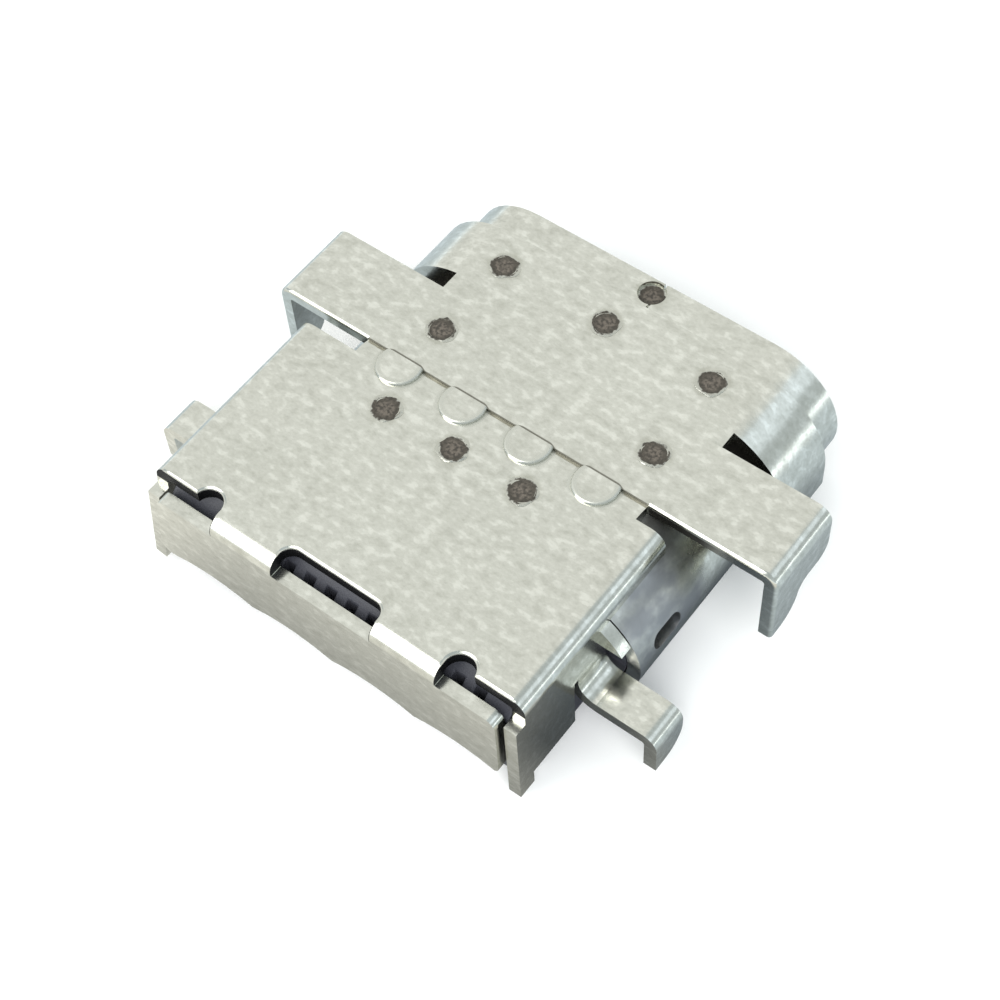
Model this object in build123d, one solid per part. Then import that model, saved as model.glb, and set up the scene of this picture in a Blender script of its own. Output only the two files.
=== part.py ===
# A plug socket with 24 contacts for a cut-out in a board's edge: a tube with the mouth, a sheet bracket
# with two solder wings welded over it, a folded rear cover with two solder tabs and moulded insulators.
# The origin is the middle of the mouth in the plane of its rim. X runs across the mouth, Y points out
# of it and Z is up. All sizes are in millimetres. A setback is measured from the rim, a depth from the
# tube's rear end and an inset from the edge of the piece itself.
import os

from build123d import *

# Mouth and tube
MOUTH_WIDTH = 8.34
MOUTH_HEIGHT = 2.56
TUBE_WALL = 0.30
TUBE_LENGTH = 6.80
SEAM_WIDTH = 0.05
SEAM_OFFSET = 0.30
SEAM_PIT_DIAMETER = 0.60
SEAM_PIT_DEPTH = 0.12
SEAM_PIT_SETBACK = 0.34
SIDE_WINDOW_LENGTH = 0.85
SIDE_WINDOW_HEIGHT = 0.42
SIDE_WINDOW_INSET = 0.90
SIDE_WINDOW_RISE = 0.30

# Sheet metal of the bracket and the rear cover
SHEET = 0.28
BEND = 0.06
FIT = 0.03
WELD_DIAMETER = 0.50
WELD_DEPTH = 0.03

# Front bracket
BRACKET_SETBACK = 0.89
STRIP_SETBACK = 2.81
STRIP_WIDTH = 1.86
STRIP_EDGE_ROUND = 0.08
WING_SPAN = 11.90
WING_SHOULDER_DROP = 1.32
WING_LEG_LENGTH = 2.08
WING_NECK = 0.86
WING_ROUND = 0.34
WING_TIP_ROUND = 0.60
RELIEF_GAP = 0.46
RELIEF_SPACING = 6.66
RELIEF_SHIFT = 0.13
SKIRT_DEPTH = 0.60
SKIRT_NOTCH_WIDTH = 0.28
SKIRT_NOTCH_HEIGHT = 0.34
SKIRT_NOTCH_INSET = 0.36
FRONT_WELD_SPACING = 2.50
FRONT_WELD_INSET = 0.79
STRIP_WELD_SPACING = 5.08
STRIP_WELD_INSET = 0.86

# Rear cover
COVER_SHIFT = -0.60
COVER_WIDTH = 8.76
COVER_MARGIN = 0.39
COVER_DEPTH = 3.00
COVER_LEDGE_WIDTH = 6.70
COVER_LEDGE_SHIFT = 0.35
COVER_LEDGE_DIP = 0.06
COVER_WALL_HEIGHT = 2.78
COVER_WALL_GAP = 0.15
WALL_CORNER_DROP = 0.62
LEFT_WALL_LEAN = 0.17
SHOULDER_RISE = 0.80
FOOT_LENGTH = 0.42
FOOT_DROP = 0.40
FLAP_WIDTH = 8.04
FLAP_HEIGHT = 2.38
FLAP_WAVE = 0.16
FLAP_WAVES = 4
FLAP_EDGE_DROP = 0.40
FLAP_CORNER = 0.22
CORNER_NOTCH_DEPTH = 0.42
CORNER_NOTCH_SPACING = 5.36
CORNER_NOTCH_DIAMETER = 0.62
CORNER_NOTCH_OFFSET = 0.05
SLOT_WIDTH = 2.34
SLOT_DEPTH = 0.58
SLOT_CORNER = 0.26
BOSS_DIAMETER = 0.96
BOSS_HEIGHT = 0.07
BOSS_ROUND = 0.06
BOSS_PITCH = 1.575
BOSS_COUNT = 4
BOSS_INSET = 0.20
BOSS_SHIFT = 0.30
COVER_WELD_SPACING = 1.63
COVER_WELD_INSET = 1.12

# Solder tabs of the rear cover
TAB_WIDTH = 0.86
TAB_DEPTH = 0.58
TAB_REACH = 1.76
TAB_DROP = 1.88
TAB_ROOT_BEND = 0.40
TAB_LEG_LENGTH = 1.10
TAB_ROUND = 0.55
TAB_SLIT = 0.12

# Tongue, insulators and housing
TONGUE_WIDTH = 6.69
TONGUE_THICKNESS = 0.70
TONGUE_SETBACK = 0.95
TIP_LENGTH = 0.36
TIP_ROUND = 0.12
STEP_LENGTH = 0.95
STEP_HEIGHT = 0.62
BASE_LENGTH = 1.60
MID_PLATE_THICKNESS = 0.10
LATCH_INSET = 1.95
LATCH_LENGTH = 0.70
LATCH_DEPTH = 0.45
SHIELD_THICKNESS = 0.10
SHIELD_HEIGHT = 0.50
SHIELD_WIDTH = 6.20
HOUSING_CHAMFER = 0.40
HOUSING_STEP = 0.46
HOUSING_STEP_HEIGHT = 0.70

# Contacts
CONTACTS_PER_ROW = 12
CONTACT_PITCH = 0.50
CONTACT_WIDTH = 0.20
CONTACT_THICKNESS = 0.12
CONTACT_STUB = 0.95
CONTACT_PLAY = 0.02
UPPER_TAIL_INSET = 0.70
LOWER_TAIL_DEPTH = 1.20
TAIL_LIFT = 0.08
COMB_DEPTH = 0.18

# Heights and places that follow from the sizes above
TUBE_WIDTH = MOUTH_WIDTH + 2 * TUBE_WALL
TUBE_HEIGHT = MOUTH_HEIGHT + 2 * TUBE_WALL
TUBE_TOP = TUBE_HEIGHT / 2
TOP = TUBE_TOP + SHEET
STRIP_REAR = STRIP_SETBACK + STRIP_WIDTH
COVER_SETBACK = STRIP_REAR + COVER_MARGIN
COVER_REACH = TUBE_LENGTH + COVER_DEPTH
COVER_WALL_REACH = COVER_REACH - COVER_WALL_GAP
TAB_SETBACK = TUBE_LENGTH + TAB_DEPTH
BASE_SETBACK = TUBE_LENGTH - BASE_LENGTH
STEP_SETBACK = BASE_SETBACK - STEP_LENGTH
LATCH_SETBACK = TONGUE_SETBACK + LATCH_INSET
UPPER_TAIL_SETBACK = COVER_REACH - UPPER_TAIL_INSET
LOWER_TAIL_SETBACK = TUBE_LENGTH + LOWER_TAIL_DEPTH
FOLD = BEND + SHEET / 2
COVER_HALF = COVER_WIDTH / 2
LEDGE_LEFT = COVER_SHIFT + COVER_LEDGE_SHIFT - COVER_LEDGE_WIDTH / 2
PLATE_REACH = COVER_REACH - CORNER_NOTCH_DEPTH
WALL_BOTTOM = TOP - COVER_WALL_HEIGHT
FLAP_INSIDE = COVER_REACH - SHEET
CONTACT_START = TONGUE_SETBACK + TIP_LENGTH
HOUSING_FRONT = TUBE_LENGTH + FIT
HOUSING_REAR = FLAP_INSIDE - 2 * FIT
TAIL_BOTTOM = -TUBE_TOP + TAIL_LIFT
LARGE = 40.0
NEAR = 1e-3


def block(x0, x1, y0, y1, z0, z1):
    """A box between two corners."""
    return Pos((x0 + x1) / 2, (y0 + y1) / 2, (z0 + z1) / 2) * Box(abs(x1 - x0), abs(y1 - y0), abs(z1 - z0))


def obround(width, height, front, rear):
    """A bar with round sides along Y, between two setbacks from the rim."""
    profile = Plane.XZ.offset(front) * SlotOverall(width, height)
    return extrude(profile, amount=rear - front)


def folded_strip(points, front, rear, radii=FOLD):
    """A sheet folded along (x, z) points of its middle line, between two setbacks from the rim."""
    profile = trace(FilletPolyline(*points, radius=radii), line_width=SHEET)
    return extrude(Plane.XZ.offset(front) * profile, amount=rear - front)


def edges_along_x(shape, y, z):
    """The edges of a shape that run along X at one (y, z) place."""
    return [e for e in shape.edges().filter_by(Axis.X)
            if abs(e.center().Y - y) < NEAR and abs(e.center().Z - z) < NEAR]


def weld_marks(places):
    """Shallow round pits that spot welds leave in the top faces."""
    pits = [Pos(x, y, TOP - WELD_DEPTH / 2) * Cylinder(WELD_DIAMETER / 2, WELD_DEPTH) for x, y in places]
    return pits


def tube_shell():
    """The drawn tube around the mouth, with its closing seam on top and a window in each side."""
    tube = obround(TUBE_WIDTH, TUBE_HEIGHT, 0, TUBE_LENGTH)
    tube -= obround(MOUTH_WIDTH, MOUTH_HEIGHT, 0, TUBE_LENGTH)
    seam = block(SEAM_OFFSET - SEAM_WIDTH / 2, SEAM_OFFSET + SEAM_WIDTH / 2,
                 -BRACKET_SETBACK, 0, TUBE_TOP - TUBE_WALL / 2, TUBE_TOP)
    pit_x = SEAM_OFFSET + SEAM_WIDTH / 2 - SEAM_PIT_DIAMETER / 4
    pit = Pos(pit_x, -SEAM_PIT_SETBACK, TUBE_TOP) * Cylinder(SEAM_PIT_DIAMETER / 2, 2 * SEAM_PIT_DEPTH)
    place = Pos(-TUBE_LENGTH + SIDE_WINDOW_INSET, SIDE_WINDOW_RISE)
    window = Plane.YZ * place * SlotOverall(SIDE_WINDOW_LENGTH, SIDE_WINDOW_HEIGHT)
    return tube - [seam, pit, extrude(window, amount=LARGE, both=True)]


def bracket_relief(side):
    """The room of a relief cut, where the bracket's wrapped side ends short of its strip."""
    inner = RELIEF_SHIFT + side * RELIEF_SPACING / 2
    return block(inner, side * LARGE, -STRIP_SETBACK, -STRIP_SETBACK + RELIEF_GAP, -LARGE, LARGE)


def front_bracket():
    """The welded bracket: a top plate, sides wrapped round the tube and a strip with two wing legs."""
    wrap = obround(TUBE_WIDTH + 2 * SHEET, TUBE_HEIGHT + 2 * SHEET, BRACKET_SETBACK, STRIP_SETBACK)
    wrap -= obround(TUBE_WIDTH, TUBE_HEIGHT, 0, TUBE_LENGTH)
    wrap -= block(-LARGE, LARGE, -LARGE, LARGE, -LARGE, 0)
    wrap -= [bracket_relief(1), bracket_relief(-1)]
    skirt_rear = -STRIP_SETBACK + RELIEF_GAP
    skirt = block(TUBE_WIDTH / 2, TUBE_WIDTH / 2 + SHEET, skirt_rear, -BRACKET_SETBACK, -SKIRT_DEPTH, 0)
    notch_rear = skirt_rear + SKIRT_NOTCH_INSET
    skirt -= block(-LARGE, LARGE, notch_rear, notch_rear + SKIRT_NOTCH_WIDTH,
                   -SKIRT_DEPTH, -SKIRT_DEPTH + SKIRT_NOTCH_HEIGHT)
    leg_x = WING_SPAN / 2 - SHEET / 2
    plate_z = TOP - SHEET / 2
    tip_z = TOP - WING_LEG_LENGTH
    strip = folded_strip([(-leg_x, tip_z), (-leg_x, plate_z), (leg_x, plate_z), (leg_x, tip_z)],
                         STRIP_SETBACK, STRIP_REAR)
    shoulder_z = TOP - WING_SHOULDER_DROP
    neck_y = -STRIP_REAR + WING_NECK
    strip -= block(-LARGE, LARGE, neck_y, LARGE, -LARGE, shoulder_z)
    strip = fillet(edges_along_x(strip, neck_y, shoulder_z), WING_ROUND)
    strip = fillet(edges_along_x(strip, -STRIP_SETBACK, shoulder_z), WING_ROUND)
    strip = fillet(edges_along_x(strip, neck_y, tip_z), WING_TIP_ROUND)
    strip = fillet(edges_along_x(strip, -STRIP_REAR, TOP), STRIP_EDGE_ROUND)
    strip += block(LEDGE_LEFT, LEDGE_LEFT + COVER_LEDGE_WIDTH, -STRIP_REAR, -STRIP_REAR + STRIP_EDGE_ROUND,
                   TOP - STRIP_EDGE_ROUND, TOP)
    bracket = wrap + skirt + mirror(skirt, Plane.YZ) + strip
    welds = [(i * FRONT_WELD_SPACING, -BRACKET_SETBACK - FRONT_WELD_INSET) for i in (-1, 0, 1)]
    welds += [(side * STRIP_WELD_SPACING / 2, -STRIP_SETBACK - STRIP_WELD_INSET) for side in (-1, 1)]
    return bracket - weld_marks(welds)


def boss_places():
    """Where the round bosses stand, in a row along the seam between the cover and the bracket."""
    first = COVER_SHIFT + BOSS_SHIFT - BOSS_PITCH * (BOSS_COUNT - 1) / 2
    return [(first + i * BOSS_PITCH, -STRIP_REAR - BOSS_INSET) for i in range(BOSS_COUNT)]


def cover_bosses():
    """The round bosses on the cover's front margin, cut off where the bracket's strip begins."""
    low = TOP - SHEET / 2
    disc = Cylinder(BOSS_DIAMETER / 2, TOP + BOSS_HEIGHT - low)
    disc = fillet(disc.edges().group_by(Axis.Z)[-1], BOSS_ROUND)
    ahead = block(-LARGE, LARGE, -STRIP_REAR, LARGE, -LARGE, LARGE)
    return [Pos(x, y, (low + TOP + BOSS_HEIGHT) / 2) * disc - ahead for x, y in boss_places()]


def lean(side, z):
    """How far a side of the cover leans out at one height; side is 1 for the right and -1 for the left."""
    return LEFT_WALL_LEAN * (TOP - SHEET / 2 - z) if side < 0 else 0.0


def wall_x(side, z):
    """The middle of a cover wall at one height."""
    return side * (COVER_HALF - SHEET / 2 + lean(side, z))


def flap_x(side, z):
    """The end of the flap at one height."""
    return side * (FLAP_WIDTH / 2 + lean(side, z))


def cover_channel(bottom, front, rear):
    """The cover's top plate and both walls down to one height, between two setbacks from the rim."""
    plate_z = TOP - SHEET / 2
    points = [(wall_x(-1, bottom), bottom), (wall_x(-1, plate_z), plate_z),
              (wall_x(1, plate_z), plate_z), (wall_x(1, bottom), bottom)]
    return folded_strip(points, front, rear)


def solder_tab(side):
    """A solder tab, bent out of a side wall and down into a leg."""
    leg_x = side * (COVER_HALF + TAB_REACH - SHEET / 2)
    tab_z = TOP - TAB_DROP - SHEET / 2
    root_z = tab_z + TAB_ROOT_BEND + SHEET
    tip_z = TOP - TAB_DROP - TAB_LEG_LENGTH
    points = [(wall_x(side, root_z), root_z), (wall_x(side, tab_z), tab_z), (leg_x, tab_z), (leg_x, tip_z)]
    front = TAB_SETBACK - TAB_WIDTH / 2
    tab = folded_strip(points, front, front + TAB_WIDTH, [TAB_ROOT_BEND + SHEET / 2, FOLD])
    return fillet(edges_along_x(tab, -front, tip_z), TAB_ROUND)


def rear_cover():
    """The folded cover: a top plate, two side walls with feet and tabs, and a flap folded down behind."""
    above_corner = block(-LARGE, LARGE, -LARGE, -PLATE_REACH, TOP - WALL_CORNER_DROP, LARGE)
    foot_front = COVER_WALL_REACH - FOOT_LENGTH
    feet = cover_channel(WALL_BOTTOM - FOOT_DROP, foot_front, COVER_WALL_REACH)
    feet -= block(-LARGE, LARGE, -LARGE, LARGE, WALL_BOTTOM, LARGE)
    shell = cover_channel(WALL_BOTTOM, COVER_SETBACK, COVER_WALL_REACH) - above_corner + feet
    half = TAB_WIDTH / 2 + TAB_SLIT
    window_top = TOP - TAB_DROP + SHEET / 2 + TAB_ROOT_BEND
    shell -= block(-LARGE, LARGE, -TAB_SETBACK - half, -TAB_SETBACK + half, -LARGE, window_top)
    shell += [solder_tab(1), solder_tab(-1)]
    cover = Pos(COVER_SHIFT, 0, 0) * (shell - rear_openings() + rear_flap())
    cover += front_ledge()
    cover += cover_bosses()
    cover += cover_shoulder()
    cover -= obround(TUBE_WIDTH + 2 * FIT, TUBE_HEIGHT, 0, TUBE_LENGTH + FIT)
    welds = [(COVER_SHIFT + i * COVER_WELD_SPACING, -STRIP_REAR - COVER_WELD_INSET) for i in (-1, 0, 1)]
    return cover - weld_marks(welds)


def rear_flap():
    """The flap behind the cover, with its bend and a slightly wavy lower edge."""
    plate_z = TOP - SHEET / 2
    flap_y = -COVER_REACH + SHEET / 2
    bottom = TOP - FLAP_HEIGHT
    path = FilletPolyline((-PLATE_REACH + SHEET, plate_z), (flap_y, plate_z), (flap_y, bottom), radius=FOLD)
    left = flap_x(-1, bottom)
    flap = extrude(Plane.YZ.offset(left) * trace(path, line_width=SHEET), amount=FLAP_WIDTH / 2 - left)
    outside = Polyline((flap_x(-1, -LARGE), -LARGE), (flap_x(-1, TOP), TOP), (-LARGE, TOP), close=True)
    flap -= extrude(Plane.XZ * make_face(outside), amount=LARGE)
    flap -= rear_openings()
    flap = fillet(flap_corners(flap, bottom) + flap_corners(flap, TOP - FLAP_EDGE_DROP), FLAP_CORNER)
    wave_width = FLAP_WIDTH / FLAP_WAVES
    radius = (wave_width ** 2 / 4 + FLAP_WAVE ** 2) / (2 * FLAP_WAVE)
    for i in range(FLAP_WAVES):
        x = -FLAP_WIDTH / 2 + (i + 0.5) * wave_width
        flap -= Pos(x, flap_y, bottom + FLAP_WAVE - radius) * Rot(90, 0, 0) * Cylinder(radius, 2 * SHEET)
    return flap


def flap_corners(flap, z):
    """The short edges at the two ends of the flap at one height."""
    ends = [flap_x(side, z) for side in (-1, 1)]
    return [e for e in flap.edges().filter_by(Axis.Y)
            if min(abs(e.center().X - x) for x in ends) < NEAR and abs(e.center().Z - z) < NEAR]


def rear_openings():
    """The round-ended notch at each rear corner and the slot in the middle of the bend."""
    notch_x = CORNER_NOTCH_SPACING / 2
    edge_z = TOP - FLAP_EDGE_DROP
    round_x = notch_x + CORNER_NOTCH_DIAMETER / 2
    notch = block(notch_x, COVER_HALF, -COVER_REACH - SHEET, -PLATE_REACH, edge_z, TOP + SHEET)
    round_y = -PLATE_REACH - CORNER_NOTCH_OFFSET
    notch += Pos(round_x, round_y, TOP) * Cylinder(CORNER_NOTCH_DIAMETER / 2, 2 * FLAP_EDGE_DROP)
    slot_front = -COVER_REACH + SLOT_DEPTH
    slot = block(-SLOT_WIDTH / 2, SLOT_WIDTH / 2, -COVER_REACH - SHEET, slot_front, edge_z, TOP + SHEET)
    front_corners = [e for e in slot.edges().filter_by(Axis.Z) if abs(e.center().Y - slot_front) < NEAR]
    slot = fillet(front_corners, SLOT_CORNER)
    return [notch, mirror(notch, Plane.YZ), slot]


def front_ledge():
    """The middle of the cover's front margin, which dips gently down to the bracket's strip."""
    ledge = block(LEDGE_LEFT, LEDGE_LEFT + COVER_LEDGE_WIDTH, -COVER_SETBACK - SHEET, -STRIP_REAR, TOP - SHEET, TOP)
    radius = (COVER_MARGIN ** 2 + COVER_LEDGE_DIP ** 2) / (2 * COVER_LEDGE_DIP)
    roll = Pos(0, -COVER_SETBACK, TOP - radius) * Rot(0, 90, 0) * Cylinder(radius, 2 * LARGE)
    above = block(-LARGE, LARGE, -COVER_SETBACK, LARGE, TOP - 2 * COVER_LEDGE_DIP, LARGE)
    return ledge - (above - roll)


def cover_shoulder():
    """The ear of the right wall that closes the upper corner of the tube's rear end."""
    end = obround(TUBE_WIDTH, TUBE_HEIGHT, TUBE_LENGTH + FIT, TUBE_LENGTH + FIT + SHEET)
    inside = COVER_SHIFT + COVER_HALF - SHEET
    return end & block(inside, LARGE, -LARGE, LARGE, SHOULDER_RISE, LARGE)


def contact_x(index):
    """The place of one contact across its row."""
    return (index - (CONTACTS_PER_ROW - 1) / 2) * CONTACT_PITCH


def upper_contact(index, play=0.0):
    """A contact of the upper row, or the room for it when play is given."""
    half = CONTACT_WIDTH / 2 + play
    top = TONGUE_THICKNESS / 2
    x = contact_x(index)
    tail = UPPER_TAIL_SETBACK
    strip = block(x - half, x + half, -tail, -CONTACT_START, top - CONTACT_THICKNESS - play, top + play)
    deep = CONTACT_THICKNESS / 2 + play
    leg = block(x - half, x + half, -tail - deep, -tail + deep, TAIL_BOTTOM - play, CONTACT_STUB + play)
    return strip + leg


def lower_contact(index, play=0.0):
    """A contact of the lower row, or the room for it when play is given."""
    half = CONTACT_WIDTH / 2 + play
    bottom = -TONGUE_THICKNESS / 2
    x = contact_x(index)
    tail = LOWER_TAIL_SETBACK
    top = bottom + CONTACT_THICKNESS
    strip = block(x - half, x + half, -tail, -CONTACT_START, bottom - play, top + play)
    deep = CONTACT_THICKNESS / 2 + play
    leg = block(x - half, x + half, -tail - deep, -tail + deep, TAIL_BOTTOM - play, top + play)
    return strip + leg


def latch_notches():
    """The cuts in the tongue's sides that the plug's latch hooks take hold of."""
    edge = TONGUE_WIDTH / 2
    rear = LATCH_SETBACK + LATCH_LENGTH
    notch = block(edge - LATCH_DEPTH, edge + LATCH_DEPTH, -rear, -LATCH_SETBACK, -LARGE, LARGE)
    return [notch, mirror(notch, Plane.YZ)]


def upper_insulator():
    """The upper half of the tongue with its step and its half of the base inside the tube."""
    low = MID_PLATE_THICKNESS / 2
    half = TONGUE_WIDTH / 2
    body = block(-half, half, -TUBE_LENGTH, -CONTACT_START, low, TONGUE_THICKNESS / 2)
    body += block(-half, half, -TUBE_LENGTH, -STEP_SETBACK, low, STEP_HEIGHT)
    base = obround(MOUTH_WIDTH - 2 * FIT, MOUTH_HEIGHT - 2 * FIT, BASE_SETBACK, TUBE_LENGTH)
    body += base - block(-LARGE, LARGE, -LARGE, LARGE, -LARGE, low)
    body -= latch_notches()
    return body - [upper_contact(i, CONTACT_PLAY) for i in range(CONTACTS_PER_ROW)]


def lower_insulator():
    """The lower half of the tongue and base, holding the lower row of contacts."""
    high = -MID_PLATE_THICKNESS / 2
    half = TONGUE_WIDTH / 2
    body = block(-half, half, -TUBE_LENGTH, -CONTACT_START, -TONGUE_THICKNESS / 2, high)
    body += block(-half, half, -TUBE_LENGTH, -STEP_SETBACK, -STEP_HEIGHT, high)
    base = obround(MOUTH_WIDTH - 2 * FIT, MOUTH_HEIGHT - 2 * FIT, BASE_SETBACK, TUBE_LENGTH)
    body += base - block(-LARGE, LARGE, -LARGE, LARGE, high, LARGE)
    body -= latch_notches()
    return body - [lower_contact(i, CONTACT_PLAY) for i in range(CONTACTS_PER_ROW)]


def mid_plate():
    """The steel plate between the two rows, which takes the latch load."""
    half = TONGUE_WIDTH / 2
    high = MID_PLATE_THICKNESS / 2
    plate = block(-half, half, -TUBE_LENGTH, -CONTACT_START, -high, high)
    return plate - latch_notches()


def tongue_tip():
    """The moulded tip that closes the tongue's front end."""
    half = TONGUE_WIDTH / 2
    high = TONGUE_THICKNESS / 2
    tip = block(-half, half, -CONTACT_START, -TONGUE_SETBACK, -high, high)
    front_edges = edges_along_x(tip, -TONGUE_SETBACK, high) + edges_along_x(tip, -TONGUE_SETBACK, -high)
    return fillet(front_edges, TIP_ROUND)


def upper_shield():
    """The thin shield plate on the step and the front of the base."""
    half = SHIELD_WIDTH / 2
    plate = block(-half, half, -BASE_SETBACK, -STEP_SETBACK, STEP_HEIGHT, STEP_HEIGHT + SHIELD_THICKNESS)
    plate += block(-half, half, -BASE_SETBACK, -BASE_SETBACK + SHIELD_THICKNESS,
                   STEP_HEIGHT, STEP_HEIGHT + SHIELD_HEIGHT)
    return plate


def rear_housing():
    """The black moulding under the rear cover, with a comb of grooves for the upper contacts' legs."""
    left = COVER_SHIFT - COVER_HALF + SHEET + FIT
    right = COVER_SHIFT + COVER_HALF - SHEET - FIT
    top = TOP - SHEET - FIT
    body = block(left, right, -HOUSING_REAR, -HOUSING_FRONT, -TUBE_TOP, top)
    body = chamfer(body.edges().filter_by(Axis.Y).group_by(Axis.Z)[-1], BEND)
    body = chamfer(edges_along_x(body, -HOUSING_REAR, top), HOUSING_CHAMFER)
    step_top = -TUBE_TOP + HOUSING_STEP_HEIGHT
    body -= block(-LARGE, LARGE, -LARGE, -HOUSING_REAR + HOUSING_STEP, -LARGE, step_top)
    half = CONTACT_WIDTH / 2 + CONTACT_PLAY
    for i in range(CONTACTS_PER_ROW):
        x = contact_x(i)
        groove = block(x - half, x + half, -LARGE, -HOUSING_REAR + COMB_DEPTH, -LARGE, LARGE)
        body -= [groove, upper_contact(i, CONTACT_PLAY), lower_contact(i, CONTACT_PLAY)]
    return body


pieces = {
    "tube_shell": tube_shell(),
    "front_bracket": front_bracket(),
    "rear_cover": rear_cover(),
    "rear_housing": rear_housing(),
    "upper_insulator": upper_insulator(),
    "lower_insulator": lower_insulator(),
    "mid_plate": mid_plate(),
    "tongue_tip": tongue_tip(),
    "upper_shield": upper_shield(),
    "lower_shield": mirror(upper_shield(), Plane.XY),
}
for i in range(CONTACTS_PER_ROW):
    pieces[f"contact_a{i + 1}"] = upper_contact(i)
    pieces[f"contact_b{i + 1}"] = lower_contact(i)

os.makedirs("parts", exist_ok=True)
for name, shape in pieces.items():
    export_step(shape, f"parts/{name}.step")
    box = shape.bounding_box()
    print(name, len(shape.solids()), f"{shape.volume:.3f} mm3", box.min, box.max)
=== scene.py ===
# %% [markdown]
# # A small plug socket in stamped metal
# The solids of this socket are already modelled to size: a drawn tube with the mouth, a bracket welded over
# it, a folded rear cover, black mouldings and 24 contacts. This lesson gives them their looks. The solids
# load as a fixed frame, so nothing is placed by eye, and each new piece goes where the frame says.

# %% Load the solids
import math
import random

import bmesh
import bpy
from mathutils import Matrix, Vector


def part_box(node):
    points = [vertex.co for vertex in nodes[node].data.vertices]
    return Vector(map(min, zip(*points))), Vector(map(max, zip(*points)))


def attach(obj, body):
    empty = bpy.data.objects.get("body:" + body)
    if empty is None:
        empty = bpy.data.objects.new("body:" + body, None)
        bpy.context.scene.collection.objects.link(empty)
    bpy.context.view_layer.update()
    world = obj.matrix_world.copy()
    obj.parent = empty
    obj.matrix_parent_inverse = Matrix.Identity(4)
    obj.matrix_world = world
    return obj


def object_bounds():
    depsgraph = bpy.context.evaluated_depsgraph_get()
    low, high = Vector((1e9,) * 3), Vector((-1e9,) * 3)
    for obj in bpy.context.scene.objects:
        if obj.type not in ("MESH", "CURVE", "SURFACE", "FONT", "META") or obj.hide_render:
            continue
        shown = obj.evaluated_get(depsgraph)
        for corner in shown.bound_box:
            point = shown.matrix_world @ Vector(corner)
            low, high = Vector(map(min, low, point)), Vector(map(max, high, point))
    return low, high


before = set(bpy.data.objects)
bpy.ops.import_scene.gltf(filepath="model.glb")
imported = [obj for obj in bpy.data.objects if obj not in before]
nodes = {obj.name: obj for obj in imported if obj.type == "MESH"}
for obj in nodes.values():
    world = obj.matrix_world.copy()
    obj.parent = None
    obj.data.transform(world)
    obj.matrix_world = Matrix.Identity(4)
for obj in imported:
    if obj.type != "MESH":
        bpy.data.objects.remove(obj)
cad_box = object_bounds()
corners = [[round(1000 * x, 2) for x in corner] for corner in cad_box]
print("solids:", len(nodes), "box in mm:", corners)

# %% [markdown]
# ## The camera
# A camera can be aimed by hand until the picture looks right, or worked out from known sizes. The mouth of
# such a socket has a standard width and height, so the viewing angle was fitted to its edges. The camera
# stands to the right behind the socket, looks down on it and leans a little, which three plain angles
# describe.

# %% Stand the camera behind the socket
MM = 0.001
IMAGE_PIXELS = 1000
FOCAL_PIXELS = 1987.05
SENSOR_WIDTH = 36.0
CAMERA_PLACE = Vector((14.0641, -21.3577, 32.7553)) * MM
AZIMUTH = math.radians(41.1257)
ELEVATION = math.radians(56.896)
LEAN = math.radians(-4.5484)

towards_camera = Vector((
    math.sin(AZIMUTH) * math.cos(ELEVATION),
    -math.cos(AZIMUTH) * math.cos(ELEVATION),
    math.sin(ELEVATION),
))
level = Vector((math.cos(AZIMUTH), math.sin(AZIMUTH), 0))
rise = towards_camera.cross(level)
right = level * math.cos(LEAN) + rise * math.sin(LEAN)
up = rise * math.cos(LEAN) - level * math.sin(LEAN)

lens = bpy.data.cameras.new("camera")
lens.sensor_width = SENSOR_WIDTH
lens.lens = SENSOR_WIDTH * FOCAL_PIXELS / IMAGE_PIXELS
lens.clip_start = 1 * MM
camera = bpy.data.objects.new("camera", lens)
turn = Matrix((right, up, towards_camera)).transposed().to_4x4()
camera.matrix_world = Matrix.Translation(CAMERA_PLACE) @ turn
bpy.context.scene.collection.objects.link(camera)
bpy.context.scene.camera = camera
print("focal length in mm:", round(lens.lens, 1))

# %% [markdown]
# ## Shader maths in plain Python
# Every finish below is a net of shader nodes. Wiring each Math node by hand takes four lines and hides the
# formula. A small class that wraps a socket lets Python's own operators add the nodes, so a formula reads
# as a formula.

# %% A value that adds its own Math nodes
class Shade:
    """One value of a finish, which sums, differences and products turn into Math nodes."""

    def __init__(self, finish, socket):
        self.finish = finish
        self.socket = socket

    def math(self, operation, first, second):
        return self.finish.node("Math", {"operation": operation}, {0: first, 1: second})

    def __add__(self, other):
        return self.math("ADD", self, other)

    def __sub__(self, other):
        return self.math("SUBTRACT", self, other)

    def __rsub__(self, other):
        return self.math("SUBTRACT", other, self)

    def __mul__(self, other):
        return self.math("MULTIPLY", self, other)

    def lower_of(self, other):
        return self.math("MINIMUM", self, other)

    __radd__ = __add__
    __rmul__ = __mul__


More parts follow.
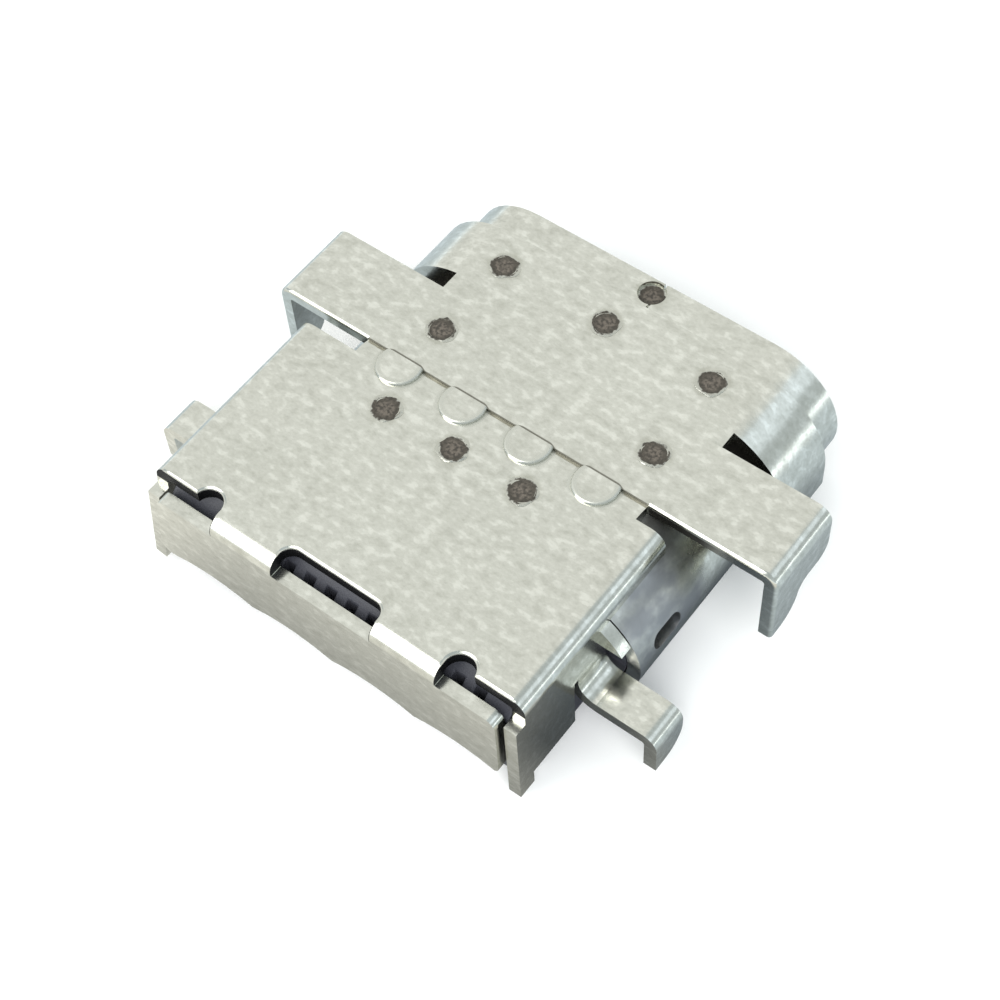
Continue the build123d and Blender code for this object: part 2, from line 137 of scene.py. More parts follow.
# %% A finish that makes its nodes in one place
class Finish:
    """A material on the Principled shader, with one method that adds any node."""

    def __init__(self, name, **constants):
        self.material = bpy.data.materials.new(name)
        self.material.use_nodes = True
        self.tree = self.material.node_tree
        self.shader = self.tree.nodes["Principled BSDF"]
        self.set(constants)
        coordinates = self.node("TexCoord", output="Object")
        self.place = self.node("VectorMath", {"operation": "SCALE"}, {0: coordinates, "Scale": 1 / MM})

    def set(self, values):
        for name, value in values.items():
            self.feed(self.shader.inputs[name.replace("_", " ")], value)

    def feed(self, socket, value):
        if isinstance(value, Shade):
            self.tree.links.new(value.socket, socket)
        else:
            socket.default_value = value

    def node(self, kind, settings=None, values=None, output=0):
        made = self.tree.nodes.new("ShaderNode" + kind)
        for name, value in (settings or {}).items():
            setattr(made, name, value)
        for name, value in (values or {}).items():
            self.feed(made.inputs[name], value)
        return Shade(self, made.outputs[output])

    def noise(self, per_mm, detail=2.0, start=0.0):
        """Noise from 0 to 1, with its own number of spots per millimetre along X, Y and Z."""
        shift = (start,) * 3
        point = self.node("Mapping", None, {"Vector": self.place, "Location": shift, "Scale": per_mm})
        return self.node("TexNoise", None, {"Vector": point, "Scale": 1.0, "Detail": detail})

    def ramp(self, value, low, high):
        """0 below low, 1 above high and a soft step between them."""
        return self.node("MapRange", {"interpolation_type": "SMOOTHSTEP"},
                         {"Value": value, "From Min": low, "From Max": high})

    def mix(self, share, first, second):
        """A colour that goes from the first to the second as share goes from 0 to 1."""
        factor, colour_a, colour_b, colour_out = 0, 6, 7, 2
        return self.node("Mix", {"data_type": "RGBA"},
                         {factor: share, colour_a: first, colour_b: second}, colour_out)

    def distance(self, point):
        """How far the surface is from a point, in millimetres."""
        return self.node("VectorMath", {"operation": "DISTANCE"}, {0: self.place, 1: point}, "Value")

    def bump(self, height, depth_mm):
        self.set({"Normal": self.node("Bump", None, {"Height": height, "Distance": depth_mm * MM})})


def colour(red, green, blue):
    return (red, green, blue, 1.0)


print("finish helpers ready")

# %% [markdown]
# ## Where the spot welds are
# The bracket and the cover are welded to the tube at eight spots, and the tube's own seam has one more. The
# solids have a shallow pit at each spot. Their places could be typed in one by one, but they are set out in
# rows from the sheets' edges, so the rows are worked out from the frame in the same way. So is the row of
# round bosses.

# %% Set out the weld rows
FRONT_ROW_PITCH = 2.50
FRONT_ROW_INSET = 0.79
STRIP_ROW_PITCH = 5.08
STRIP_ROW_INSET = 1.00
COVER_ROW_PITCH = 1.63
COVER_ROW_INSET = 1.12
COVER_MIDDLE = -0.60
SEAM_SPOT = Vector((0.175, -0.34, 1.47))
BOSS_RADIUS = 0.48
BOSS_PITCH = 1.575
BOSS_SHIFT = 0.30
BOSS_INSET = 0.20
SHEET_TOP = 1.86


def box_mm(node):
    """A node's lowest and highest corners in millimetres."""
    low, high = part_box(node)
    return low / MM, high / MM


def row(count, middle, pitch, y):
    """Evenly spaced places across the sheet's top."""
    return [Vector((middle + (i - (count - 1) / 2) * pitch, y, SHEET_TOP)) for i in range(count)]


bracket_low, bracket_high = box_mm("front_bracket")
cover_low, cover_high = box_mm("rear_cover")
front_row = row(3, 0.0, FRONT_ROW_PITCH, bracket_high.y - FRONT_ROW_INSET)
strip_row = row(2, 0.0, STRIP_ROW_PITCH, bracket_low.y + STRIP_ROW_INSET)
bracket_welds = front_row + strip_row
cover_row = row(3, COVER_MIDDLE, COVER_ROW_PITCH, cover_high.y - COVER_ROW_INSET)
boss_row = row(4, COVER_MIDDLE + BOSS_SHIFT, BOSS_PITCH, bracket_low.y - BOSS_INSET)
print("welds on the bracket:", len(bracket_welds), "on the cover:", len(cover_row), "bosses:", len(boss_row))

# %% [markdown]
# ## Satin nickel on rolled sheet
# The sheet pieces are rolled steel with a thin satin nickel plating. Close up, the plating is mottled: pale
# and dull blotches about a quarter of a millimetre wide with finer flecks, slow patches of tone and a fine
# grain. One flat grey would look like plastic. Four noises of different sizes do it. The bump stays very
# low, so that bends still mirror clear bands.

# %% The satin sheet finish
BLOTCH_PER_MM = (3.4, 5.4, 5.4)
FLECKS_PER_MM = (10.0, 15.0, 15.0)
PATCHES_PER_MM = (0.45, 0.60, 0.60)
GRAIN_PER_MM = (34.0, 45.0, 45.0)
SATIN_DARK = colour(0.57, 0.57, 0.51)
SATIN_LIGHT = colour(0.92, 0.92, 0.855)
SCORCH = colour(0.36, 0.355, 0.28)
SCORCH_SHARE = 0.30
SATIN_ROUGHNESS = 0.19
PLATING_BUMP = 0.0016


def along(finish, axis):
    """The position along one axis in millimetres."""
    return finish.node("SeparateXYZ", None, {0: finish.place}, axis)


def nearest(finish, places):
    """The distance to the nearest of some points, in millimetres."""
    gap = finish.distance(places[0])
    for point in places[1:]:
        gap = gap.lower_of(finish.distance(point))
    return gap


def satin_sheet(name, start, welds, colour_marks=(), prints=()):
    """Mottled satin nickel, with a scorch round each weld, any coloured marks, painted shade among them, and
    any raised or sunk prints.
    """
    finish = Finish(name, Metallic=1.0)
    blotch = finish.noise(BLOTCH_PER_MM, 4.0, start)
    fleck = finish.noise(FLECKS_PER_MM, 3.0, start)
    patch = finish.noise(PATCHES_PER_MM, 2.0, start)
    grain = finish.noise(GRAIN_PER_MM, 2.0, start)
    pale = finish.ramp(blotch, 0.50, 0.68)
    dull = finish.ramp(blotch, 0.48, 0.32)
    tone = 0.30 + 0.30 * patch + 0.42 * pale - 0.22 * dull
    tone = tone + 0.60 * (fleck - 0.5) + 0.20 * (grain - 0.5)
    sheet = finish.mix(tone, SATIN_DARK, SATIN_LIGHT)
    scorched = finish.ramp(nearest(finish, welds) + 0.16 * (blotch - 0.5), 0.44, 0.28)
    sheet = finish.mix(SCORCH_SHARE * scorched, sheet, SCORCH)
    roughness = SATIN_ROUGHNESS + 0.05 * dull - 0.03 * pale + 0.08 * (grain - 0.5)
    for mask, mark_colour, matt in colour_marks:
        share = mask(finish)
        sheet = finish.mix(share, sheet, mark_colour)
        roughness += matt * share
    finish.set({"Base Color": sheet, "Roughness": roughness})
    height = 0.5 * blotch + 0.3 * fleck + 0.2 * grain
    for mask, rise in prints:
        height += rise * mask(finish)
    finish.bump(height, PLATING_BUMP)
    return finish.material


print("satin sheet ready")

# %% [markdown]
# ## Painted shade on the tube and the bracket
# The tube has the same plating, but behind the bracket it is duller, with paler smears, and painted darker
# as shade. A black shadow is painted in the two relief cuts beside the bracket's strip, and painted shade
# darkens the corner where the tube, the strip and the cover meet, and the lower part of the strip's rear
# wall beside it. The strip's rear edge is painted darker along the cover. Marks could be painted on by hand,
# but these follow the sheets' edges, so each one is a mask made of soft steps along the axes.

# %% The tube and its painted shade
# Behind the bracket the tube is rougher, and its colour is painted darker as shade.
DULL_SHADED_STEEL = colour(0.40, 0.405, 0.42)
# The black in the relief cuts is a painted shadow.
RELIEF_SHADOW_BLACK = colour(0.018, 0.016, 0.014)
# The brown at the cover's right front corner is a painted shade, on the tube and on the strip's rear wall.
CORNER_SHADE_BROWN = colour(0.085, 0.08, 0.072)
SHADE_CORNER = Vector((3.55, bracket_low.y - 0.15, 1.45))
RELIEF_FRONT = bracket_high.y - 1.46
RELIEF_REAR = bracket_high.y - 1.92
SMEARS_PER_MM = (1.8, 1.2, 1.8)


def dull_and_shaded_rear(finish):
    """Near 1 on the part of the tube behind the bracket: duller plating with paler smears, painted darker as
    shade.
    """
    smear = finish.noise(SMEARS_PER_MM, 3.0)
    behind = finish.ramp(along(finish, "Y"), bracket_low.y + 0.3, bracket_low.y - 0.3)
    return behind * (0.45 + 0.55 * finish.ramp(smear, 0.64, 0.40))


def painted_shadow_in_reliefs(finish):
    """1 on the upper side of the tube between the wrapped sides and the strip, where a black shadow is
    painted.
    """
    y = along(finish, "Y")
    behind_sides = finish.ramp(y, RELIEF_FRONT + 0.12, RELIEF_FRONT)
    before_strip = finish.ramp(y, RELIEF_REAR - 0.3, RELIEF_REAR)
    return behind_sides * before_strip * finish.ramp(along(finish, "Z"), 0.2, 0.8)


def painted_shade_at_corner(finish):
    """A ragged patch of painted shade on the tube beside the cover's right front corner."""
    smear = finish.noise(SMEARS_PER_MM, 3.0)
    return 0.8 * finish.ramp(finish.distance(SHADE_CORNER) + 0.8 * (smear - 0.5), 0.90, 0.30)


tube_shade = [
    (dull_and_shaded_rear, DULL_SHADED_STEEL, 0.26),
    (painted_shadow_in_reliefs, RELIEF_SHADOW_BLACK, 0.30),
    (painted_shade_at_corner, CORNER_SHADE_BROWN, 0.20),
]
tube_steel = satin_sheet("tube_satin", 23.0, [SEAM_SPOT], tube_shade)
print("stains on", tube_steel.name, "are", len(tube_shade))

# %% The bracket with its dark seam, painted shade and prints
# The strip's rear edge is painted darker where it meets the cover.
SEAM_BROWN = colour(0.26, 0.25, 0.215)
SEAM_MIDDLE = COVER_MIDDLE + 0.35
SEAM_HALF = 3.35
SEAM_BLUR = 0.02
SEAM_LEFT = SEAM_MIDDLE - SEAM_HALF
SEAM_RIGHT = SEAM_MIDDLE + SEAM_HALF
BOSS_BLUR = 0.06
BOSS_RISE = 4.0


def boss_print(finish):
    """1 where a boss of the cover presses through the bracket's strip."""
    return finish.ramp(nearest(finish, boss_row), BOSS_RADIUS + BOSS_BLUR, BOSS_RADIUS - BOSS_BLUR)


def dark_seam_edge(finish):
    """1 on the rear edge of the bracket's strip where it meets the cover, a little wider at the bosses."""
    x = along(finish, "X")
    between = finish.ramp(x, SEAM_LEFT - SEAM_BLUR, SEAM_LEFT + SEAM_BLUR)
    between *= finish.ramp(x, SEAM_RIGHT + SEAM_BLUR, SEAM_RIGHT - SEAM_BLUR)
    edge = along(finish, "Y") - 0.06 * boss_print(finish)
    return between * finish.ramp(edge, bracket_low.y + 0.025, bracket_low.y + 0.005)


def painted_shade_under_strip(finish):
    """1 on the lower part of the strip's rear wall beside the cover's right front corner, where shade is
    painted.
    """
    x = along(finish, "X")
    beside = finish.ramp(x, SEAM_RIGHT, SEAM_RIGHT + 0.04) * finish.ramp(x, 5.0, 4.2)
    wall = finish.ramp(along(finish, "Y"), bracket_low.y + 0.02, bracket_low.y + 0.005)
    return beside * wall * finish.ramp(along(finish, "Z"), SHEET_TOP - 0.08, SHEET_TOP - 0.11)


bracket_seam_and_shade = [(dark_seam_edge, SEAM_BROWN, 0.30), (painted_shade_under_strip, CORNER_SHADE_BROWN, 0.30)]
bracket_steel = satin_sheet("bracket_satin", 3.0, bracket_welds, bracket_seam_and_shade, [(boss_print, BOSS_RISE)])
print("stains on", bracket_steel.name, "are", len(bracket_seam_and_shade))

# %% [markdown]
# ## Rims of the cover's cut-outs
# The punch drew the sheet down a little at the slot and the two corner notches, so their front rims catch
# the light. The drop is about a fortieth of a millimetre, too small to model, and a bump does it. The cut
# walls below the rims are painted dark as shade. The distance to each cut-out is worked out from a box or a
# pole, and the nearest one counts. The bosses have matt rings, except at the rear, where each one keeps a
# glint.

# %% Measure the distance to the cut-outs
TALL = 100.0
SLOT_WIDTH = 2.34
SLOT_DEPTH = 0.58
SLOT_CORNER = 0.26
SLOT_MIDDLE = Vector((COVER_MIDDLE, cover_low.y, 0))
SLOT_HALF = Vector((SLOT_WIDTH / 2 - SLOT_CORNER, SLOT_DEPTH - SLOT_CORNER, TALL))
NOTCH_EDGE = 2.68
NOTCH_REACH = 1.66
NOTCH_DEPTH = 0.42
NOTCH_RADIUS = 0.31
NOTCH_SETBACK = 0.05
NOTCH_MIDDLE = Vector((NOTCH_EDGE + NOTCH_REACH, cover_low.y, 0))
NOTCH_HALF = Vector((NOTCH_REACH, NOTCH_DEPTH, TALL))
NOTCH_POLE = Vector((NOTCH_EDGE + NOTCH_RADIUS, cover_low.y + NOTCH_DEPTH - NOTCH_SETBACK, 0))
POLE = Vector((0, 0, TALL))


def gap_outside(finish, place, middle, half):
    """How far a place is outside an upright box."""
    offset = finish.node("VectorMath", {"operation": "SUBTRACT"}, {0: place, 1: middle})
    reach = finish.node("VectorMath", {"operation": "ABSOLUTE"}, {0: offset})
    outside = finish.node("VectorMath", {"operation": "SUBTRACT"}, {0: reach, 1: half})
    outside = finish.node("VectorMath", {"operation": "MAXIMUM"}, {0: outside, 1: (0, 0, 0)})
    return finish.node("VectorMath", {"operation": "LENGTH"}, {0: outside}, "Value")


def gap_to_cuts(finish):
    """How far the sheet is from the slot or the nearest notch, seen from above."""
    half_x = finish.node("Math", {"operation": "ABSOLUTE"}, {0: along(finish, "X") - COVER_MIDDLE})
    folded = finish.node("CombineXYZ", None, {"X": half_x, "Y": along(finish, "Y")})
    gap = gap_outside(finish, finish.place, SLOT_MIDDLE, SLOT_HALF) - SLOT_CORNER
    gap = gap.lower_of(gap_outside(finish, folded, NOTCH_MIDDLE, NOTCH_HALF))
    return gap.lower_of(gap_outside(finish, folded, NOTCH_POLE, POLE) - NOTCH_RADIUS)


print("slot in mm:", SLOT_WIDTH, "by", SLOT_DEPTH, "notch starts at:", NOTCH_EDGE)

# %% The cover's rims, the painted shade on its cut walls, and rings
CUT_DEPTH = 0.40
RIM_WIDTH = 0.07
RIM_DROP = 15.0
# The cut walls' dark colour is a painted shade.
CUT_SHADE = colour(0.03, 0.03, 0.033)
RING_GREY = colour(0.68, 0.68, 0.62)


def rolled_rims(finish):
    """1 at the front rim of the slot and the notches, falling to 0 a rim's width away."""
    upper = finish.ramp(along(finish, "Z"), SHEET_TOP - 0.05, SHEET_TOP - 0.01)
    front = finish.ramp(along(finish, "Y"), cover_low.y + 0.18, cover_low.y + 0.45)
    return finish.ramp(gap_to_cuts(finish), RIM_WIDTH, 0.0) * upper * front


def painted_shade_on_cuts(finish):
    """1 on the cut walls of the slot and the notches, below the upper face and above the flap, where shade
    is painted.
    """
    z = along(finish, "Z")
    flap_edge = SHEET_TOP - CUT_DEPTH
    below = finish.ramp(z, SHEET_TOP - 0.01, SHEET_TOP - 0.03)
    above = finish.ramp(z, flap_edge + 0.005, flap_edge + 0.02)
    return finish.ramp(gap_to_cuts(finish), 0.02, 0.006) * below * above


def matt_rings(finish):
    """1 on the rings round the bosses, apart from their rear ends."""
    gap = nearest(finish, boss_row)
    inner = finish.ramp(gap, BOSS_RADIUS - 0.14, BOSS_RADIUS - 0.08)
    outer = finish.ramp(gap, BOSS_RADIUS + 0.10, BOSS_RADIUS + 0.04)
    rear = boss_row[0].y - BOSS_RADIUS
    return inner * outer * finish.ramp(along(finish, "Y"), rear + 0.03, rear + 0.13)


cover_rings_and_shade = [(matt_rings, RING_GREY, 0.32), (painted_shade_on_cuts, CUT_SHADE, 0.40)]
cover_steel = satin_sheet("cover_satin", 11.0, cover_row, cover_rings_and_shade, [(rolled_rims, -RIM_DROP)])
print("finish with rims:", cover_steel.name)

# %% [markdown]
# ## Black mouldings
# The housing and the tongue are glass-filled black plastic. It is never pure black: dust and fibres lift it
# to a dark blue-grey, and the mould leaves a fine spark texture. A fine noise gives the grain its bump, and
# a wider one makes some stretches glossier.

# %% The black moulding finish
MOULD_GRAIN_PER_MM = (28.0, 28.0, 28.0)
MOULD_CLOUD_PER_MM = (1.4, 1.4, 1.4)
MOULD_DARK = colour(0.024, 0.025, 0.031)
MOULD_LIGHT = colour(0.075, 0.077, 0.094)


def black_moulding(name, start):
    """Dark plastic with a fine grain and uneven gloss."""
    finish = Finish(name)
    grain = finish.noise(MOULD_GRAIN_PER_MM, 2.0, start)
    cloud = finish.noise(MOULD_CLOUD_PER_MM, 2.0, start)
    finish.set({
        "Base Color": finish.mix(0.6 * cloud + 0.4 * grain, MOULD_DARK, MOULD_LIGHT),
        "Roughness": 0.40 + 0.20 * cloud + 0.15 * (grain - 0.5),
    })
    finish.bump(grain, 0.004)
    return finish.material


housing_plastic = black_moulding("housing_black", 5.0)
tongue_plastic = black_moulding("tongue_black", 9.0)
print("mouldings:", housing_plastic.name, tongue_plastic.name)

# %% [markdown]
# ## Contacts and plates
# The contacts are gold where the plug wipes over them and tin where they are soldered. On the real part the
# plating bath ends at a line, so the position along the contact decides between the two colours. The plates
# inside the tongue are bare stainless, brushed along the way the plug goes in.

# %% The contact plating and the stainless plates
GOLD_DEEP = colour(0.72, 0.47, 0.16)
GOLD_PALE = colour(0.90, 0.68, 0.33)
TIN_GREY = colour(0.66, 0.66, 0.64)
TIN_PALE = colour(0.86, 0.86, 0.84)
GOLD_ENDS_AT = -6.2
WIPE_PER_MM = (26.0, 3.0, 26.0)
PLATE_DARK = colour(0.42, 0.42, 0.41)
PLATE_LIGHT = colour(0.68, 0.68, 0.66)
BRUSH_PER_MM = (40.0, 1.5, 40.0)


def contact_plating():
    """Gold in front of the line, tin behind it, with fine wipe marks along Y."""
    finish = Finish("contact_plating", Metallic=1.0)
    wipe = finish.noise(WIPE_PER_MM, 2.0)
    gold = finish.mix(wipe, GOLD_DEEP, GOLD_PALE)
    tin = finish.mix(wipe, TIN_GREY, TIN_PALE)
    edge = along(finish, "Y") + 0.3 * (wipe - 0.5)
    is_gold = finish.ramp(edge, GOLD_ENDS_AT - 0.1, GOLD_ENDS_AT + 0.1)
    finish.set({
        "Base Color": finish.mix(is_gold, tin, gold),
        "Roughness": 0.34 - 0.12 * is_gold + 0.1 * wipe,
    })
    finish.bump(wipe, 0.002)
    return finish.material


def brushed_plate():
    """Stainless with brush lines along Y."""
    finish = Finish("brushed_stainless", Metallic=1.0)
    line = finish.noise(BRUSH_PER_MM, 3.0)
    finish.set({
        "Base Color": finish.mix(line, PLATE_DARK, PLATE_LIGHT),
        "Roughness": 0.26 + 0.16 * line,
    })
    finish.bump(line, 0.003)
    return finish.material


contact_gold = contact_plating()
plate_steel = brushed_plate()
print("inner metals:", contact_gold.name, plate_steel.name)

# %% [markdown]
# ## Dressing the solids
# The record names a material slot for each solid, and the import gave each solid a plain material of that
# name. So a table from slot to finish dresses all 34 of them in one loop. The sheets have their bends in
# the solids already. The housing is all sharp corners, which no mould makes, so a Weld modifier joins its
# loose triangles, a Decimate modifier merges the flat ones, and a Bevel modifier rounds what is sharper
# than an angle.

# %% Give each solid its finish
FINISH_OF_SLOT = {
    "tube_steel": tube_steel,
    "bracket_steel": bracket_steel,
    "cover_steel": cover_steel,
    "housing_plastic": housing_plastic,
    "tongue_plastic": tongue_plastic,
    "plate_steel": plate_steel,
    "contact_gold": contact_gold,
}
for node in nodes.values():
    slot = node.data.materials[0].name
    node.data.materials[0] = FINISH_OF_SLOT[slot]
print("dressed", len(nodes), "solids in", len(FINISH_OF_SLOT), "finishes")

# %% Round the moulded edges
HOUSING_EDGE = 0.03
JOIN_GAP = 0.0005
FLAT_ANGLE = math.radians(0.05)
SHARP_EDGE = math.radians(40)


def round_edges(node, radius):
    """Joins a solid's triangles and rounds its sharp edges."""
    weld = node.modifiers.new("join", "WELD")
    weld.merge_threshold = JOIN_GAP * MM
    flat = node.modifiers.new("flat_faces", "DECIMATE")
    flat.decimate_type = "DISSOLVE"
    flat.angle_limit = FLAT_ANGLE
    bevel = node.modifiers.new("soft_edges", "BEVEL")
    bevel.width = radius * MM
    bevel.segments = 3
    bevel.limit_method = "ANGLE"
    bevel.angle_limit = SHARP_EDGE
    bevel.use_clamp_overlap = False
    bevel.harden_normals = True


round_edges(nodes["rear_housing"], HOUSING_EDGE)
print("moulded edges rounded by", HOUSING_EDGE, "mm")

# %% [markdown]
# ## Burnt weld spots
# A spot weld leaves a small crater: a thrown-up lip, a burnt wall and a rough dark floor. A dark disc
# painted in the shader would look printed on. Each crater is modelled instead: a capped circle is waved to
# an uneven outline and extruded ring by ring towards its middle, with every point pushed a little so that
# no two craters are alike.

# %% Model the weld craters
CRATER_SIDES = 40
CRATER_RADIUS = 0.32
CRATER_RINGS = [(0.91, 0.007), (0.84, 0.012), (0.74, -0.008), (0.55, -0.004), (0.28, 0.000)]
CRATER_LIFT = 0.003
CRATER_UNEVEN = 0.016
OUTLINE_WAVES = [(2, 0.05), (3, 0.05), (5, 0.04)]


def wave_outline(outline, place, chance):
    """Pushes a circle's points in and out in a few slow waves."""
    waves = [(count, size, chance.uniform(0, 2 * math.pi)) for count, size in OUTLINE_WAVES]
    for vert in outline:
        arm = vert.co - place * MM
        angle = math.atan2(arm.y, arm.x)
        share = sum(size * math.sin(count * angle + phase) for count, size, phase in waves)
        vert.co += Vector((arm.x, arm.y, 0)) * share


def crater(bm, place, chance):
    """One burnt crater on the sheet: outer edge, lip, wall and rough floor."""
    made = bmesh.ops.create_circle(bm, cap_ends=True, segments=CRATER_SIDES, radius=CRATER_RADIUS * MM,
                                   matrix=Matrix.Translation((place + Vector((0, 0, CRATER_LIFT))) * MM))
    middle = made["verts"][0].link_faces[0]
    if middle.normal.z < 0:
        middle.normal_flip()
    wave_outline(made["verts"], place, chance)
    outline = [vert.co - place * MM for vert in middle.verts]
    for share, height in CRATER_RINGS:
        middle = bmesh.ops.extrude_discrete_faces(bm, faces=[middle])["faces"][0]
        for vert, arm in zip(middle.verts, outline):
            uneven = CRATER_UNEVEN * chance.uniform(-1, 1)
            lifted = Vector((0, 0, CRATER_LIFT + height + 0.3 * uneven))
            flat_arm = Vector((arm.x, arm.y, 0)) * share * (1 + uneven / CRATER_RADIUS)
            vert.co = place * MM + flat_arm + lifted * MM
    bmesh.ops.poke(bm, faces=[middle])


def weld_piece(name, places, seed):
    """All the craters of one sheet as one piece."""
    chance = random.Random(seed)
    bm = bmesh.new()
    for place in places:
        crater(bm, place, chance)
    for face in bm.faces:
        face.smooth = True
    mesh = bpy.data.meshes.new(name)
    bm.to_mesh(mesh)
    bm.free()
    piece = bpy.data.objects.new(name, mesh)
    bpy.context.scene.collection.objects.link(piece)
    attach(piece, "root")
    return piece


bracket_craters = weld_piece("bracket_weld_spots", bracket_welds, 4)
cover_craters = weld_piece("cover_weld_spots", cover_row, 8)
seam_crater = weld_piece("seam_weld_spot", [SEAM_SPOT], 15)
print("crater faces:", [len(piece.data.polygons) for piece in (bracket_craters, cover_craters, seam_crater)])

# %% [markdown]
# ## The burnt finish
# The colour of a weld goes from plain plating at the rim through a dark ring to a brown-grey middle full of
# specks. The distance to the nearest weld gives the rings, and a slow noise added to it makes their outline
# ragged. The middle is oxide, so it is hardly metallic and much rougher than the sheet.

# %% The burnt weld finish
BURNT_PER_MM = (15.0, 15.0, 15.0)
RAGGED_PER_MM = (5.0, 5.0, 5.0)
BURNT_DARK = colour(0.046, 0.040, 0.032)
BURNT_MIDDLE = colour(0.135, 0.115, 0.094)
BURNT_RING = colour(0.042, 0.037, 0.028)
BURNT_RIM = colour(0.60, 0.60, 0.54)


def burnt_weld(name, places, start):
    """Ragged rings of burnt metal round each weld."""
    finish = Finish(name)
    speck = finish.noise(BURNT_PER_MM, 4.0, start)
    ragged = finish.noise(RAGGED_PER_MM, 2.0, start)
    gap = nearest(finish, places) + 0.18 * (ragged - 0.5) + 0.08 * (speck - 0.5)
    rim = finish.ramp(gap, 0.265, 0.305)
    ring = finish.ramp(gap, 0.14, 0.23)
    middle = finish.mix(finish.ramp(speck, 0.36, 0.62), BURNT_DARK, BURNT_MIDDLE)
    burnt = finish.mix(0.7 * ring, middle, BURNT_RING)
    finish.set({
        "Base Color": finish.mix(rim, burnt, BURNT_RIM),
        "Metallic": 0.10 + 0.90 * rim,
        "Roughness": 0.62 - 0.34 * rim + 0.2 * (speck - 0.5),
    })
    finish.bump(speck, 0.010)
    return finish.material


bracket_craters.data.materials.append(burnt_weld("bracket_burnt", bracket_welds, 2.0))
cover_craters.data.materials.append(burnt_weld("cover_burnt", cover_row, 6.0))
seam_crater.data.materials.append(burnt_weld("seam_burnt", [SEAM_SPOT], 9.0))
print("burnt finishes on", bracket_craters.name, cover_craters.name, seam_crater.name)

# %% [markdown]
# ## Floor and light
# Polished sheet shows what it reflects more than its own colour, so the lamps are set by reflection. The
# top faces mirror a wide lamp above and in front of the mouth. The rear bends mirror a bright lamp behind
# the part, and the bends on the right a small cool one, like a window, and a low one. One more lamp whitens
# the floor and isn't mirrored. The walls mirror the floor, and a white one would make them as pale as
# paper. So the floor that the camera sees is white, and the metal sees a glowing card instead, with painted
# light and shade: a painted shadow where the part stands, grey a few millimetres away, paler behind the part
# than beside it, and white in the distance, which is what gives a bend its crisp bands.

# %% Lay the floor and the card
FLOOR_HALF = 0.6
CARD_DEPTH = 0.02
CARD_MIDDLE = Vector((0.65, -5.15, 0.0))
CARD_HALF = Vector((3.65, 3.15, TALL))
# The card's darkest tone is a painted shadow under the part, and its rear, side and far tones are painted
# light.
CARD_SHADE = colour(0.035, 0.045, 0.055)
CARD_REAR = colour(0.86, 0.86, 0.80)
CARD_SIDE = colour(0.63, 0.72, 0.77)
CARD_FAR = colour(1.05, 1.15, 1.20)
PAPER_DARK = colour(0.93, 0.93, 0.93)
PAPER_LIGHT = colour(0.95, 0.95, 0.95)
FIBRE_PER_MM = (2.0, 2.0, 2.0)
BLACK = colour(0, 0, 0)


def flat_sheet(name, finish, depth_mm):
    """A wide level sheet at or below the part's lowest point."""
    bm = bmesh.new()
    bmesh.ops.create_grid(bm, x_segments=2, y_segments=2, size=FLOOR_HALF,
                          matrix=Matrix.Translation((0, 0, cad_box[0].z - depth_mm * MM)))
    mesh = bpy.data.meshes.new(name)
    bm.to_mesh(mesh)
    bm.free()
    mesh.materials.append(finish.material)
    sheet = bpy.data.objects.new(name, mesh)
    bpy.context.scene.collection.objects.link(sheet)
    return sheet


def paper():
    """Matt white paper with a faint fibre."""
    finish = Finish("paper", Roughness=0.9)
    fibre = finish.noise(FIBRE_PER_MM, 3.0)
    finish.set({"Base Color": finish.mix(fibre, PAPER_DARK, PAPER_LIGHT)})
    return finish


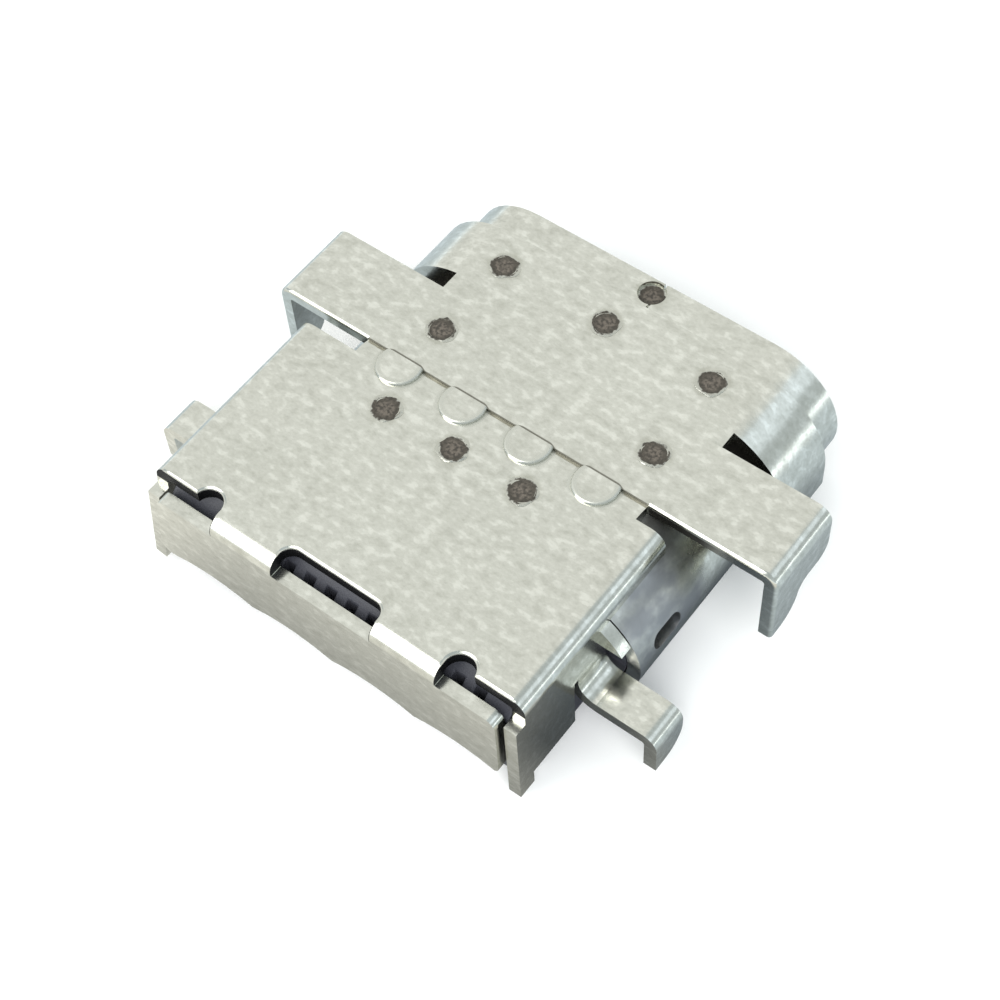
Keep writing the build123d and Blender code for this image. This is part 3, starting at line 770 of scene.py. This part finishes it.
def grey_card():
    """A glowing card with painted light and shade: a painted shadow under the part, grey beside it and white
    far away.
    """
    finish = Finish("card", Base_Color=BLACK, Emission_Strength=1.0, Specular_IOR_Level=0.0)
    gap = gap_outside(finish, finish.place, CARD_MIDDLE, CARD_HALF)
    tone = finish.mix(finish.ramp(along(finish, "Y"), -8.5, -6.5), CARD_REAR, CARD_SIDE)
    near = finish.mix(finish.ramp(gap, -0.8, 4.5), CARD_SHADE, tone)
    finish.set({"Emission Color": finish.mix(finish.ramp(gap, 16.0, 50.0), near, CARD_FAR)})
    return finish


floor = flat_sheet("floor", paper(), 0.0)
floor.visible_glossy = False
card = flat_sheet("card", grey_card(), CARD_DEPTH)
for rays in ("camera", "diffuse", "transmission", "shadow"):
    setattr(card, "visible_" + rays, False)
print("floor at z in mm:", round(cad_box[0].z / MM, 2))

# %% Hang the lamps
LAMP_DISTANCE = 0.12
PART_MIDDLE = (cad_box[0] + cad_box[1]) / 2
ROOM_GREY = colour(0.52, 0.58, 0.60)
LAMPS = [
    ("lamp_above", (-0.50, 0.57, 0.65), 0.27, 0.20, 0.34, (1.0, 0.88, 0.735)),
    ("lamp_window", (0.60, 0.50, 0.61), 0.09, 0.042, 0.50, (0.80, 0.89, 1.0)),
    ("lamp_behind", (-0.36, -0.71, 0.60), 0.085, 0.20, 2.4, (1.0, 0.98, 0.94)),
    ("lamp_right_low", (0.90, 0.41, 0.03), 0.10, 0.012, 1.3, (0.90, 0.97, 1.0)),
    ("lamp_floor", (0.52, -0.50, 0.70), 0.08, 0.08, 6.0, (1.0, 1.0, 1.0)),
]


def lamp(name, towards, width, height, brightness, tint):
    """A soft lamp that hangs in one direction and faces the part."""
    light = bpy.data.lights.new(name, "AREA")
    light.shape = "RECTANGLE"
    light.size = width
    light.size_y = height
    light.color = tint
    light.energy = brightness * math.pi * width * height
    away = Vector(towards).normalized()
    hung = bpy.data.objects.new(name, light)
    hung.matrix_world = (Matrix.Translation(PART_MIDDLE + away * LAMP_DISTANCE)
                         @ away.to_track_quat("Z", "Y").to_matrix().to_4x4())
    bpy.context.scene.collection.objects.link(hung)
    return hung


hung_lamps = {settings[0]: lamp(*settings) for settings in LAMPS}
hung_lamps["lamp_floor"].visible_glossy = False

room = bpy.data.worlds.new("room")
room.use_nodes = True
room.node_tree.nodes["Background"].inputs["Color"].default_value = ROOM_GREY
bpy.context.scene.world = room
bpy.context.scene.view_settings.view_transform = "Standard"
print("lamps:", len(LAMPS))
